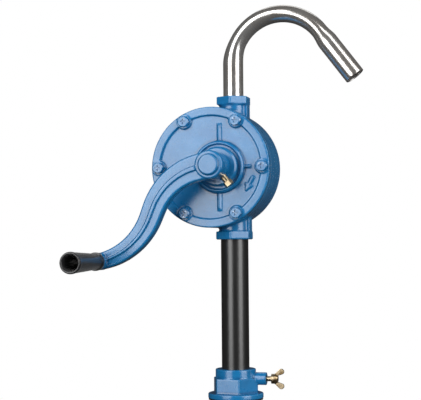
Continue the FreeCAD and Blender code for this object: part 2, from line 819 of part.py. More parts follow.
def arm_stretches():
    """The arm's centre line from the shaft to the grip, as (points, headings) of each stretch.

    Each stretch has its start, middle and end: a run, a bend, a run and the bend back.
    """
    run = ("run", value("arm_hub_run"), 0)
    bend = ("bend", value("arm_bend_radius"), math.radians(value("arm_bend_sweep")))
    middle_run = ("run", value("arm_middle_run"), 0)
    back = ("bend", value("arm_return_radius"), -math.radians(value("arm_return_sweep")))
    point = Vector(0, 0, 0)
    heading = math.radians(value("arm_bearing"))
    stretches = []
    for kind, size, sweep in (run, bend, middle_run, back):
        points, headings = [], []
        for share in (0, 0.5, 1):
            turned_by = heading + sweep * share
            if kind == "run":
                step = Vector(math.cos(heading), math.sin(heading), 0) * (size * share)
            else:
                radius = math.copysign(size, sweep)
                step = Vector(
                    radius * (math.sin(turned_by) - math.sin(heading)),
                    radius * (math.cos(heading) - math.cos(turned_by)),
                    0,
                )
            points.append(point + step)
            headings.append(turned_by)
        stretches.append((kind, points, headings, size if kind == "run" else size * abs(sweep)))
        point, heading = points[-1], headings[-1]
    return stretches


def arm_strip(start_width, end_width):
    """The closed outline of a strip along the arm, from one width at the shaft to another at the grip."""
    stretches = arm_stretches()
    total = sum(length for *_, length in stretches)
    sides = {1: [], -1: []}
    done = 0
    for kind, points, headings, length in stretches:
        edge_points = {1: [], -1: []}
        for share, point, heading in zip((0, 0.5, 1), points, headings):
            along = (done + share * length) / total
            half = (start_width + (end_width - start_width) * along) / 2
            normal = Vector(-math.sin(heading), math.cos(heading), 0)
            for side in (1, -1):
                edge_points[side].append(point + normal * (half * side))
        for side in (1, -1):
            first, middle, last = edge_points[side]
            curve = Part.LineSegment(first, last) if kind == "run" else Part.Arc(first, middle, last)
            sides[side].append((curve, first, last))
        done += length
    ends = [
        Part.LineSegment(sides[-1][0][1], sides[1][0][1]),
        Part.LineSegment(sides[1][-1][2], sides[-1][-1][2]),
    ]
    return [curve for side in (1, -1) for curve, *_ in sides[side]] + ends


def grip_place(forward="0"):
    """The grip's axis at the end of the arm, turned forward."""
    end = arm_stretches()[-1][1][-1]
    return (f"{SHAFT_X} + {end.x}", f"-({forward})", f"shaft_height + {end.y}"), FORWARD


def crank_arm():
    back = "hub_front - arm_thickness"
    blade_edges = arm_strip(value("arm_hub_width"), value("arm_grip_width"))
    blade = plate("arm_blade", blade_edges, back, "arm_thickness - hub_step", *at_shaft())
    DOC.recompute()
    pad = blade.Tip
    front = value("hub_front - hub_step")
    edges = [
        f"Edge{number}" for number, edge in enumerate(pad.Shape.Edges, start=1)
        if all(abs(vertex.Z - front) < TOUCHING for vertex in edge.Vertexes)
    ]
    rounding = blade.newObject("PartDesign::Fillet", "arm_rounding")
    rounding.Base = (pad, edges)
    bind(rounding, Radius="arm_round")
    rib_edges = arm_strip(value("arm_rib_width"), value("arm_rib_end_width"))
    rib_foot = "hub_front - hub_step - edge_break"
    rib = plate("arm_rib", rib_edges, rib_foot, "edge_break + arm_rib_height", *at_shaft())
    hub_outline = [
        ("0", "hub_start"),
        ("hub_diameter / 2 - hub_round", "hub_start"),
        ("hub_diameter / 2", "hub_start + hub_round"),
        ("hub_diameter / 2", "hub_front - hub_round"),
        ("hub_diameter / 2 - hub_round", "hub_front"),
        ("0", "hub_front"),
    ]
    hub = turned("arm_hub", hub_outline, *at_shaft())
    boss_outline = [
        ("0", back),
        ("grip_boss_diameter / 2 - hub_round", back),
        ("grip_boss_diameter / 2", f"{back} + hub_round"),
        ("grip_boss_diameter / 2", "grip_boss_front - hub_round"),
        ("grip_boss_diameter / 2 - hub_round", "grip_boss_front"),
        ("0", "grip_boss_front"),
    ]
    boss = turned("arm_boss", boss_outline, *grip_place())
    rib_trim = cylinder("arm_rib_trim", "hub_diameter", "hub_disc_height", *at_shaft("hub_front"))
    solid = cut("arm_without_disc", fuse("arm_solid", [blade, rib, hub, boss]), [rib_trim])
    disc_outline = [
        ("0", "hub_front - edge_break"),
        ("hub_disc_diameter / 2", "hub_front - edge_break"),
        ("hub_disc_diameter / 2", "hub_front + hub_disc_height - edge_break"),
        ("hub_disc_diameter / 2 - edge_break", "hub_front + hub_disc_height"),
        ("0", "hub_front + hub_disc_height"),
    ]
    disc = turned("arm_disc", disc_outline, *at_shaft())
    with_disc = fuse("arm_with_disc", [solid, disc])
    bore = cylinder(
        "arm_bore", "shaft_diameter + running_clearance", "hub_front - hub_wall - hub_start + edge_break",
        *at_shaft("hub_start - edge_break"),
    )
    spindle_hole = cylinder(
        "arm_spindle_hole", "spindle_diameter + running_clearance", "arm_thickness + arm_thickness",
        *grip_place("spindle_seat - running_clearance"),
    )
    reach = "hub_diameter / 2 + edge_break"
    tapping = cylinder("arm_tapping", "bolt_diameter + running_clearance", reach, *set_screw_place("0"))
    sub_part(cut("arm_cut", with_disc, [bore, spindle_hole, tapping]), "crank_arm")


def set_screw_place(out):
    """A point on the set screw's axis, some way out from the shaft's axis, and its direction."""
    bearing = "set_screw_bearing"
    at = (
        f"{SHAFT_X} + ({out}) * cos({bearing})",
        "-set_screw_forward",
        f"shaft_height + ({out}) * sin({bearing})",
    )
    return at, Rotation(Vector(0, 1, 0), 90 - DIMENSIONS["set_screw_bearing"])


def crank_set_screw():
    """The bolt that locks the crank to the shaft."""
    start = "shaft_diameter / 2 + running_clearance"
    shank = cylinder(
        "set_shank", "bolt_diameter", f"set_screw_reach - ({start}) + edge_break", *set_screw_place(start)
    )
    flats = hexagon(
        "set_flats", "set_screw_head", "set_screw_head_height", *set_screw_place("set_screw_reach")
    )
    sub_part(fuse("set_screw_fused", [shank, flats]), "crank_set_screw")


def grip_fittings():
    """The spindle screwed into the arm's end, and the washer under its head."""
    washer_start = "grip_start + grip_wall + 2 * running_clearance"
    head_start = f"{washer_start} + washer_thickness"
    outline = [
        ("0", "spindle_seat"),
        ("spindle_diameter / 2", "spindle_seat"),
        ("spindle_diameter / 2", head_start),
        ("spindle_head_diameter / 2", head_start),
        ("spindle_head_diameter / 2", f"{head_start} + spindle_head_height - edge_break"),
        ("spindle_head_diameter / 2 - edge_break", f"{head_start} + spindle_head_height"),
        ("0", f"{head_start} + spindle_head_height"),
    ]
    sub_part(turned("spindle_turning", outline, *grip_place()), "grip_spindle")
    washer = ring(
        "washer_ring", "spindle_head_diameter", "spindle_diameter + 2 * running_clearance",
        washer_start, "washer_thickness", *grip_place(),
    )
    sub_part(washer, "grip_washer")


def grip_sleeve():
    """A moulded sleeve with an open outer end, which turns on the spindle."""
    end = "grip_start + grip_length"
    hole = "spindle_diameter / 2 + 2 * running_clearance"
    inner = "grip_start + grip_wall"
    collar = "grip_start + grip_collar_length"
    outline = [
        (hole, "grip_start"),
        ("grip_collar_diameter / 2 - edge_break", "grip_start"),
        ("grip_collar_diameter / 2", "grip_start + edge_break"),
        ("grip_collar_diameter / 2", collar),
        ("grip_waist_diameter / 2", f"{collar} + grip_collar_length / 2"),
        ("grip_waist_diameter / 2", f"{collar} + grip_collar_length"),
        ("grip_end_diameter / 2 - edge_break / 2", f"{end} - grip_collar_length"),
        ("grip_end_diameter / 2", f"{end} - grip_collar_length / 2"),
        ("grip_end_diameter / 2", f"{end} - edge_break"),
        ("grip_end_diameter / 2 - edge_break", end),
        ("grip_end_bore / 2", end),
        ("grip_inner_bore / 2", f"{inner} + grip_collar_length"),
        ("grip_inner_bore / 2", inner),
        (hole, inner),
    ]
    sub_part(turned("sleeve_turning", outline, *grip_place()), "grip_sleeve")


def ellipse(name, in_plane, across, at, turn):
    """A flat curve whose first radius lies in the spout's plane; equal radii give a circle."""
    big, small = (in_plane, across) if value(in_plane) > value(across) else (across, in_plane)
    if value(big) == value(small):
        curve = bind(DOC.addObject("Part::Circle", name), Radius=big)
    else:
        curve = bind(DOC.addObject("Part::Ellipse", name), MajorRadius=big, MinorRadius=small)
        turn = turn.multiply(Rotation(Vector(0, 0, 1), 90)) if big == across else turn
    return put(curve, at, turn)


def loft(name, sections):
    joined = DOC.addObject("Part::Loft", name)
    joined.Sections = sections
    joined.Solid = True
    joined.Ruled = False
    return joined


def entry_section(name, inset, share):
    """The tube's section inside the first part of the bend, where it goes from round to flat."""
    flatness = share * share * (3 - 2 * share)
    sweep = f"spout_entry_sweep * {share}"
    radius = "spout_bend_radius"
    at = (f"{radius} - {radius} * cos({sweep})", "0", f"spout_bend_height + {radius} * sin({sweep})")
    in_plane = f"(spout_diameter + (spout_flat - spout_diameter) * {flatness}) / 2 - {inset}"
    across = f"(spout_diameter + (spout_wide - spout_diameter) * {flatness}) / 2 - {inset}"
    return ellipse(name, in_plane, across, at, Rotation(Vector(0, 1, 0), value(sweep)))


def spout_solid(name, inset):
    """The spout's outer form, or its inside when inset by the wall: straight, flattened bend, straight."""
    round_size = f"spout_diameter / 2 - {inset}"
    flat = f"spout_flat / 2 - {inset}"
    wide = f"spout_wide / 2 - {inset}"
    foot = "shaft_height + port_half_height - port_depth + edge_break / 4"
    rise = cylinder(
        name + "_rise", f"2 * ({round_size})", f"spout_bend_height - ({foot})", ("0", "0", foot)
    )
    stages = 4
    entry = loft(
        name + "_entry", [entry_section(f"{name}_a{i}", inset, i / stages) for i in range(stages + 1)]
    )
    bend = DOC.addObject("Part::Revolution", name + "_bend")
    bend.Source = entry_section(name + "_section", inset, 1)
    bend.Axis = Vector(0, 1, 0)
    bend.Base = Vector(value("spout_bend_radius"), 0, value("spout_bend_height"))
    bend.Solid = True
    bind(bend, Angle="spout_bend_sweep - spout_entry_sweep")
    bend.setExpression("Base.x", cells("spout_bend_radius"))
    bend.setExpression("Base.z", cells("spout_bend_height"))
    tilt = Rotation(Vector(0, 1, 0), value("spout_bend_sweep"))
    start = spout_point("0")
    blend_end = spout_point("spout_blend")
    upper = loft(name + "_upper_blend", [
        ellipse(name + "_c", flat, wide, start, tilt),
        ellipse(name + "_d", round_size, round_size, blend_end, tilt),
    ])
    outlet = cylinder(
        name + "_outlet", f"2 * ({round_size})", "spout_straight - spout_blend", blend_end, tilt
    )
    return [rise, entry, bend, upper, outlet]


def spout_point(along):
    """A point on the straight end of the spout, some way past the bend."""
    sweep = "spout_bend_sweep"
    radius = "spout_bend_radius"
    return (
        f"{radius} - {radius} * cos({sweep}) + ({along}) * sin({sweep})",
        "0",
        f"spout_bend_height + {radius} * sin({sweep}) + ({along}) * cos({sweep})",
    )


def discharge_spout():
    outer = fuse("spout_outside", spout_solid("spout", "0"))
    inner = spout_solid("spout_bore", "spout_wall")
    sub_part(cut("spout_cut", outer, inner), "discharge_spout")


def check_document():
    """Stop if any object failed to build or any sub-part's shape is empty or broken."""
    for thing in DOC.Objects:
        if {"Invalid", "Error"} & set(thing.State):
            raise RuntimeError(f"{thing.Name} did not build: {thing.State}")
    for part in SUB_PARTS:
        if part.Shape.isNull() or not part.Shape.isValid():
            raise RuntimeError(f"{part.Label} has no valid shape")


def write_parts():
    os.makedirs("parts", exist_ok=True)
    for part in SUB_PARTS:
        part.Shape.exportStep(f"parts/{part.Label}.step")
        print(f"{part.Label}: {len(part.Shape.Solids)} solid(s), {part.Shape.Volume / 1000:.2f} cm3")


fill_sheet()
bung_adaptor()
adaptor_seals()
clamp_screw()
tube_lengths()
foot_strainer()
pump_casing()
cover_gasket()
front_cover()
cover_bolts()
bearings_and_seal()
rotor_shaft()
vanes()
crank_arm()
crank_set_screw()
grip_fittings()
grip_sleeve()
discharge_spout()
DOC.recompute()
check_document()
write_parts()
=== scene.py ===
import json
import math

import bmesh
import bpy
from mathutils import Matrix, Vector

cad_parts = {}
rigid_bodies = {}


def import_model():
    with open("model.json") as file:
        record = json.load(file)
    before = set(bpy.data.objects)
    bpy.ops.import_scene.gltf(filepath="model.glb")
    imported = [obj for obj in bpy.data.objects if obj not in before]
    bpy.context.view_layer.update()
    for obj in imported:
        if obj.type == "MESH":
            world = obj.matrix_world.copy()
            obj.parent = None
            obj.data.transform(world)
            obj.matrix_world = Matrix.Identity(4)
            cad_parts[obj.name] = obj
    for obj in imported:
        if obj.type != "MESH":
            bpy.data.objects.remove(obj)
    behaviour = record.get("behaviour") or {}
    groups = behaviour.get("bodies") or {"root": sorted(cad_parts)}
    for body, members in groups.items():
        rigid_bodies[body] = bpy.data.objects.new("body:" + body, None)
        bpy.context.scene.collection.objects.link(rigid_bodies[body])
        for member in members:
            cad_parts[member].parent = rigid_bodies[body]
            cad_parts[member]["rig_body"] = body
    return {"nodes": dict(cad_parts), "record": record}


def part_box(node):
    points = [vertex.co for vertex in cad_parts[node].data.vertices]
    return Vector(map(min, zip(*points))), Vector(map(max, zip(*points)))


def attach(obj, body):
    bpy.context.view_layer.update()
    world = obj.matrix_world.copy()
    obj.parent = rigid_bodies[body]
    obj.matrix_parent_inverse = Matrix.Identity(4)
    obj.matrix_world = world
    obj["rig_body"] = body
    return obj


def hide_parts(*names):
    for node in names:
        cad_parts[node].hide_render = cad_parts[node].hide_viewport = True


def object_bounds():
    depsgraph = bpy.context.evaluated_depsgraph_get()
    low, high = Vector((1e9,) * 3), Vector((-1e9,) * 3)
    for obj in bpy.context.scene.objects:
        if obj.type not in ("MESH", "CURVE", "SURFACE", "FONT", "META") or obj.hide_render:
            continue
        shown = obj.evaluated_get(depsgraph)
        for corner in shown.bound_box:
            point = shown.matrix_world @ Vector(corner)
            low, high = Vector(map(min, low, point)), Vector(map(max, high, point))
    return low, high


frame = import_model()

CAD_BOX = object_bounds()
NODES = frame["nodes"]
RECORD = frame["record"]
MM = 0.001

AROUND = 72  # points round a turned or drawn piece

# colours, as linear red, green and blue
ENAMEL = (0.006, 0.182, 0.450)
ENAMEL_LIGHT = (0.012, 0.224, 0.520)
# the deep blue: dark specks in the paint, and also the painted shade in hollows and inner corners
ENAMEL_SPECK_AND_SHADE = (0.001, 0.034, 0.125)
# the pale blue: convex edges, partly thin paint there and partly a painted highlight
ENAMEL_THIN_PAINT_AND_HIGHLIGHT = (0.07, 0.32, 0.60)
ZINC = (0.46, 0.48, 0.50)
PIPE_BLACK = (0.012, 0.012, 0.012)
PIPE_STREAK = (0.018, 0.018, 0.018)
PIPE_SCUFF = (0.06, 0.06, 0.06)
CHROME = (0.74, 0.73, 0.71)
# warm chrome: a painted reflection of brownish surroundings
CHROME_PAINTED_REFLECTION = (0.63, 0.59, 0.55)
BRASS = (0.54, 0.43, 0.28)
BRASS_DARK = (0.22, 0.15, 0.07)
BRONZE = (0.34, 0.19, 0.08)
STEEL = (0.42, 0.42, 0.43)
STEEL_DARK = (0.25, 0.24, 0.23)
RUBBER = (0.014, 0.014, 0.014)
RUBBER_WORN = (0.030, 0.030, 0.030)
PLASTIC = (0.014, 0.014, 0.016)
PLASTIC_WORN = (0.026, 0.026, 0.027)
PAPER = (0.22, 0.16, 0.09)
PAPER_LIGHT = (0.30, 0.23, 0.14)
COMPOSITE = (0.050, 0.040, 0.030)
COMPOSITE_LIGHT = (0.085, 0.065, 0.045)
FLOOR = (0.80, 0.80, 0.80)
FLOOR_LIGHT = (0.84, 0.84, 0.84)


# ---------------------------------------------------------------- node helpers

def node(tree, kind, **settings):
    made = tree.nodes.new("ShaderNode" + kind)
    for name, value in settings.items():
        setattr(made, name, value)
    return made


def link(tree, source, target):
    tree.links.new(source, target)


def place(tree, stretch=(1, 1, 1)):
    """Coordinates in metres in the object's own frame, stretched along X, Y and Z."""
    coordinates = node(tree, "TexCoord")
    mapping = node(tree, "Mapping")
    mapping.inputs["Scale"].default_value = stretch
    link(tree, coordinates.outputs["Object"], mapping.inputs["Vector"])
    return mapping.outputs["Vector"]


def noise(tree, per_metre, detail=3.0, roughness=0.5, stretch=(1, 1, 1)):
    """A noise field with about this many features to the metre."""
    made = node(tree, "TexNoise")
    made.inputs["Scale"].default_value = per_metre
    made.inputs["Detail"].default_value = detail
    made.inputs["Roughness"].default_value = roughness
    link(tree, place(tree, stretch), made.inputs["Vector"])
    return made.outputs["Fac"]


def ramp(tree, source, low, high, start=0.0, end=1.0):
    """The source's range low..high, mapped onto start..end and clamped."""
    made = node(tree, "MapRange")
    for name, value in (("From Min", low), ("From Max", high), ("To Min", start), ("To Max", end)):
        made.inputs[name].default_value = value
    link(tree, source, made.inputs["Value"])
    return made.outputs["Result"]


def times(tree, first, second):
    made = node(tree, "Math", operation="MULTIPLY")
    link(tree, first, made.inputs[0])
    link(tree, second, made.inputs[1])
    return made.outputs["Value"]


def mix(tree, amount, first, second):
    """Two colours mixed by a field; a colour is a triple or another node's output."""
    made = node(tree, "Mix", data_type="RGBA")
    link(tree, amount, made.inputs["Factor"])
    for name, colour in (("A", first), ("B", second)):
        socket = next(s for s in made.inputs if s.name == name and s.type == "RGBA")
        if isinstance(colour, tuple):
            socket.default_value = (*colour, 1)
        else:
            link(tree, colour, socket)
    return next(s for s in made.outputs if s.type == "RGBA")


def bump(tree, height, depth, normal=None, strength=1.0):
    """A bump of a depth in metres, on top of an earlier normal."""
    made = node(tree, "Bump")
    made.inputs["Strength"].default_value = strength
    made.inputs["Distance"].default_value = depth
    link(tree, height, made.inputs["Height"])
    if normal is not None:
        link(tree, normal, made.inputs["Normal"])
    return made.outputs["Normal"]


def soft_edges(tree, radius):
    made = node(tree, "Bevel", samples=4)
    made.inputs["Radius"].default_value = radius
    return made.outputs["Normal"]


def new_material(name, metallic=0.0, coat=0.0, coat_roughness=0.1, specular=0.5):
    material = bpy.data.materials.new(name)
    material.use_nodes = True
    shader = material.node_tree.nodes["Principled BSDF"]
    shader.inputs["Metallic"].default_value = metallic
    shader.inputs["Coat Weight"].default_value = coat
    shader.inputs["Coat Roughness"].default_value = coat_roughness
    shader.inputs["Specular IOR Level"].default_value = specular
    return material, material.node_tree, shader


def connect(tree, shader, colour, roughness, normal):
    link(tree, colour, shader.inputs["Base Color"])
    link(tree, roughness, shader.inputs["Roughness"])
    link(tree, normal, shader.inputs["Normal"])


# ------------------------------------------------------------------- materials

def enamel(name, cast=True, wear=0.0):
    """Blue enamel: orange peel, and on a casting a sandy surface, painted shade in its hollows, and edges
    painted lighter, partly thin paint and partly a painted highlight.

    Wear adds chips that show zinc.
    """
    material, tree, shader = new_material(name, coat=1.0, coat_roughness=0.19)
    cloud = ramp(tree, noise(tree, 38, detail=4), 0.36, 0.66)
    colour = mix(tree, cloud, ENAMEL, ENAMEL_LIGHT)
    speck = ramp(tree, noise(tree, 620, detail=2), 0.60, 0.72, 0.0, 0.25)
    colour = mix(tree, speck, colour, ENAMEL_SPECK_AND_SHADE)
    peel = noise(tree, 520, detail=1.5)
    if cast:
        # painted shade: the casting's hollows and inner corners darkened towards the deep blue by ambient
        # occlusion
        painted_hollow_shade = node(tree, "AmbientOcclusion", samples=8, only_local=True)
        painted_hollow_shade.inputs["Distance"].default_value = 5 * MM
        colour = mix(tree, ramp(tree, painted_hollow_shade.outputs["AO"], 0.94, 0.56), colour, ENAMEL_SPECK_AND_SHADE)
        # lighter convex edges: partly thin paint over the edges, partly a painted edge highlight
        geometry = node(tree, "NewGeometry")
        edge_thin_paint_and_highlight = ramp(tree, geometry.outputs["Pointiness"], 0.514, 0.550, 0.0, 0.45)
        edge_thin_paint_and_highlight = times(tree, edge_thin_paint_and_highlight, ramp(tree, noise(tree, 210, detail=5), 0.42, 0.62))
        colour = mix(tree, edge_thin_paint_and_highlight, colour, ENAMEL_THIN_PAINT_AND_HIGHLIGHT)
        normal = bump(tree, noise(tree, 85, detail=2), 0.16 * MM, strength=0.5)
        normal = bump(tree, peel, 0.05 * MM, normal, strength=0.4)
        normal = bump(tree, noise(tree, 1300, detail=2), 0.015 * MM, normal, strength=0.4)
    else:
        normal = bump(tree, peel, 0.03 * MM, soft_edges(tree, 0.5 * MM))
    if wear:
        bare = 0.62 - wear / 10
        chips = ramp(tree, noise(tree, 330, detail=5, roughness=0.65), bare, bare + 0.04, 0.0, 0.7)
        colour = mix(tree, chips, colour, ZINC)
        link(tree, chips, shader.inputs["Metallic"])
    connect(tree, shader, colour, ramp(tree, noise(tree, 130), 0.3, 0.7, 0.24, 0.34), normal)
    return material


def black_pipe():
    """Satin black enamel on drawn pipe, with faint scuffs that run along it."""
    material, tree, shader = new_material("black_pipe", coat=1.0, coat_roughness=0.3)
    streaks = noise(tree, 260, detail=4, stretch=(1, 1, 0.04))
    colour = mix(tree, ramp(tree, streaks, 0.45, 0.75), PIPE_BLACK, PIPE_STREAK)
    scuffs = noise(tree, 150, detail=6, roughness=0.7, stretch=(1, 1, 0.25))
    colour = mix(tree, ramp(tree, scuffs, 0.68, 0.74, 0.0, 0.4), colour, PIPE_SCUFF)
    normal = bump(tree, streaks, 0.02 * MM, soft_edges(tree, 0.3 * MM), strength=0.4)
    normal = bump(tree, noise(tree, 900, detail=2), 0.03 * MM, normal, strength=0.4)
    connect(tree, shader, colour, ramp(tree, streaks, 0.3, 0.7, 0.24, 0.36), normal)
    return material


def chrome():
    """Bright plating with warm patches painted at random as a reflection of brownish surroundings, a slow
    waviness from the bending and faint polishing lines along the tube.
    """
    material, tree, shader = new_material("chrome", metallic=0.82)
    # painted reflection: warm patches at random, standing in for brownish surroundings mirrored in the
    # plating
    colour = mix(tree, ramp(tree, noise(tree, 30, detail=2), 0.35, 0.7), CHROME, CHROME_PAINTED_REFLECTION)
    lines = noise(tree, 700, detail=2, stretch=(1, 1, 0.05))
    normal = bump(tree, noise(tree, 26, detail=1), 0.20 * MM, strength=0.25)
    normal = bump(tree, lines, 0.006 * MM, normal, strength=0.25)
    connect(tree, shader, colour, ramp(tree, noise(tree, 90, detail=3), 0.35, 0.7, 0.14, 0.23), normal)
    return material


def metal(name, bright, tarnished, roughness, grain=(1, 1, 1), per_metre=700):
    """Bare metal with tarnished patches and a grain that can run one way."""
    material, tree, shader = new_material(name, metallic=1.0)
    patches = ramp(tree, noise(tree, 170, detail=5, roughness=0.6), 0.46, 0.68)
    colour = mix(tree, patches, bright, tarnished)
    field = noise(tree, per_metre, detail=3, stretch=grain)
    normal = bump(tree, field, 0.03 * MM, soft_edges(tree, 0.3 * MM), strength=0.5)
    connect(tree, shader, colour, ramp(tree, field, 0.3, 0.7, *roughness), normal)
    return material


def dull(name, colour, lighter, roughness, per_metre=900, coat=0.0, sheen=0.0):
    """Rubber, plastic, paper or composite: a fine moulded or fibrous surface."""
    material, tree, shader = new_material(name, specular=0.4, coat=coat, coat_roughness=0.25)
    shader.inputs["Sheen Weight"].default_value = sheen
    shader.inputs["Sheen Roughness"].default_value = 0.35
    field = noise(tree, per_metre, detail=3, roughness=0.6)
    shade = mix(tree, ramp(tree, noise(tree, 60, detail=4), 0.4, 0.7), colour, lighter)
    normal = bump(tree, field, 0.05 * MM, soft_edges(tree, 0.4 * MM), strength=0.5)
    connect(tree, shader, shade, ramp(tree, field, 0.3, 0.7, *roughness), normal)
    return material


MATERIALS = {
    "blue_enamel": enamel("blue_enamel"),
    "painted_bolts": enamel("painted_bolts", cast=False, wear=0.35),
    "black_pipe": black_pipe(),
    "chrome": chrome(),
    "brass": metal("brass", BRASS, BRASS_DARK, (0.26, 0.42)),
    "bronze": metal("bronze", BRONZE, BRASS_DARK, (0.35, 0.55), per_metre=1400),
    "machined_steel": metal("machined_steel", STEEL, STEEL_DARK, (0.22, 0.38), grain=(1, 12, 1)),
    "black_rubber": dull("black_rubber", RUBBER, RUBBER_WORN, (0.62, 0.80)),
    "black_plastic": dull("black_plastic", PLASTIC, PLASTIC_WORN, (0.26, 0.42), coat=0.6, sheen=0.3),
    "gasket_paper": dull("gasket_paper", PAPER, PAPER_LIGHT, (0.75, 0.92), per_metre=1800),
    "vane_composite": dull("vane_composite", COMPOSITE, COMPOSITE_LIGHT, (0.45, 0.65)),
}
SLOT_OF = {part["node"]: part["material_slot"] for part in RECORD["subparts"]}


def paint(piece, slot_name):
    piece.data.materials.clear()
    piece.data.materials.append(MATERIALS[slot_name])


# --------------------------------------------------------------- mesh helpers

def mesh_object(name, vertices, faces):
    mesh = bpy.data.meshes.new(name)
    mesh.from_pydata(vertices, [], faces)
    mesh.validate()
    mesh.update()
    for polygon in mesh.polygons:
        polygon.use_smooth = True
    piece = bpy.data.objects.new(name, mesh)
    bpy.context.scene.collection.objects.link(piece)
    return piece


def skin(name, rings):
    """A closed surface through rings of equal length; the last ring joins the first."""
    around = len(rings[0])
    vertices = [point for ring in rings for point in ring]
    faces = []
    for i in range(len(rings)):
        here = i * around
        there = (i + 1) % len(rings) * around
        for k in range(around):
            after = (k + 1) % around
            faces.append((here + k, here + after, there + after, there + k))
    piece = mesh_object(name, vertices, faces)
    outward(piece)
    return piece


def outward(piece):
    """Turn every face's normal outward."""
    shape = bmesh.new()
    shape.from_mesh(piece.data)
    bmesh.ops.recalc_face_normals(shape, faces=shape.faces)
    shape.to_mesh(piece.data)
    shape.free()


def stand_for(piece, node_name):
    """Let a piece ride with a CAD node's body and show in its place, in its material."""
    slot_name = SLOT_OF[node_name]
    paint(piece, slot_name)
    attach(piece, NODES[node_name]["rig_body"])
    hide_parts(node_name)
    return piece


def baked(piece):
    """Apply a piece's modifiers to its mesh."""
    graph = bpy.context.evaluated_depsgraph_get()
    mesh = bpy.data.meshes.new_from_object(piece.evaluated_get(graph))
    old = piece.data
    piece.modifiers.clear()
    piece.data = mesh
    bpy.data.meshes.remove(old)


def casting(node_name, grain, passes):
    """A cast piece made from a CAD node: its skin remeshed at a grain and its edges eased as in a mould."""
    mesh = bpy.data.meshes.new(node_name + "_cast")
    shape = bmesh.new()
    shape.from_mesh(NODES[node_name].data)
    bmesh.ops.remove_doubles(shape, verts=shape.verts, dist=0.002 * MM)
    shape.to_mesh(mesh)
    shape.free()
    piece = bpy.data.objects.new(node_name + "_cast", mesh)
    bpy.context.scene.collection.objects.link(piece)
    remesh = piece.modifiers.new("remesh", "REMESH")
    remesh.mode = "VOXEL"
    remesh.voxel_size = grain * MM
    ease = piece.modifiers.new("ease", "SMOOTH")
    ease.factor = 0.5
    ease.iterations = passes
    baked(piece)
    for polygon in piece.data.polygons:
        polygon.use_smooth = True
    return stand_for(piece, node_name)


def bored(casing):
    """Open the cast chamber by a hair and square its far corner, so that both stay clear of the vanes."""
    low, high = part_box("vane_left")
    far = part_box("vane_right")[1]
    radius = 55 * MM
    corner = 1.2 * MM
    opened = 0.3 * MM
    middle = Vector(((low.x + far.x) / 2, 0, (low.z + high.z) / 2))
    for vertex in casing.data.vertices:
        depth = vertex.co.y
        spoke = vertex.co - middle
        spoke.y = 0
        reach = spoke.length
        if low.y < depth < high.y + opened and radius - 2 * corner < reach < radius + opened:
            if reach > radius - corner:
                spoke *= (radius + opened) / reach
            if depth > high.y - corner:
                depth = high.y + opened
            vertex.co = middle + spoke
            vertex.co.y = depth


# -------------------------------------------------------------- discharge spout

BEND_RADIUS = 60.5 * MM
BLEND_IN = 31.7 * MM   # the stretch over which the bend goes flat
BLEND_OUT = 16 * MM    # and round again
HALF_FLAT = 10.4 * MM  # the flattened tube's reach in the bend's plane
HALF_WIDE = 13.7 * MM  # and across it
SPOUT_WALL = 1.5 * MM
OUTLET = next(mount for mount in RECORD["mounts"] if mount["name"] == "spout_outlet")


def smooth_step(share):
    share = min(max(share, 0.0), 1.0)
    return share * share * (3 - 2 * share)


def spout_line():
    """The centre line as a function of the way along it, where its bend starts and ends, and its length."""
    end = Vector(OUTLET["pos_m"])
    out = Vector(OUTLET["axis"])
    sweep = math.acos(out.z)
    straight = (end.x - BEND_RADIUS * (1 - math.cos(sweep))) / math.sin(sweep)
    bend_height = end.z - BEND_RADIUS * math.sin(sweep) - straight * math.cos(sweep)
    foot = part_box("discharge_spout")[0].z
    bend_start = bend_height - foot
    bend_end = bend_start + BEND_RADIUS * sweep

    def centre_at(along):
        """A point on the centre line and the direction across the bend, away from its centre."""
        if along <= bend_start:
            return Vector((0, 0, foot + along)), Vector((-1, 0, 0))
        angle = min((along - bend_start) / BEND_RADIUS, sweep)
        away = Vector((-math.cos(angle), 0, math.sin(angle)))
        point = Vector((BEND_RADIUS, 0, bend_height)) + away * BEND_RADIUS
        return point + out * max(along - bend_end, 0.0), away

    return centre_at, bend_start, bend_end, bend_end + straight


def spout():
    """A drawn tube: straight rise, hook bend flattened by the bender, straight end with a rounded lip."""
    centre_at, bend_start, bend_end, total = spout_line()
    round_radius = OUTLET["dims"]["r_mm"] * MM
    beside = Vector((0, 1, 0))

    def ring(along, inset):
        into = smooth_step((along - bend_start) / BLEND_IN)
        out_of = smooth_step((bend_end + BLEND_OUT - along) / BLEND_OUT)
        flatness = min(into, out_of)
        in_plane = round_radius + (HALF_FLAT - round_radius) * flatness - inset
        across = round_radius + (HALF_WIDE - round_radius) * flatness - inset
        point, away = centre_at(along)
        made = []
        for k in range(AROUND):
            turn = 2 * math.pi * k / AROUND
            made.append(point + away * (in_plane * math.cos(turn)) + beside * (across * math.sin(turn)))
        return made

    step = 2.2 * MM
    count = round(total / step)
    lip = SPOUT_WALL / 2
    lip_steps = 8
    outer = [ring((total - lip) * i / count, 0) for i in range(count + 1)]
    rounding = []
    for i in range(1, lip_steps):
        angle = math.pi * i / lip_steps
        rounding.append(ring(total - lip + lip * math.sin(angle), lip - lip * math.cos(angle)))
    inner = [ring((total - lip) * i / count, SPOUT_WALL) for i in range(count, -1, -1)]
    return stand_for(skin("discharge_spout_tube", outer + rounding + inner), "discharge_spout")


# ----------------------------------------------------------------- grip sleeve

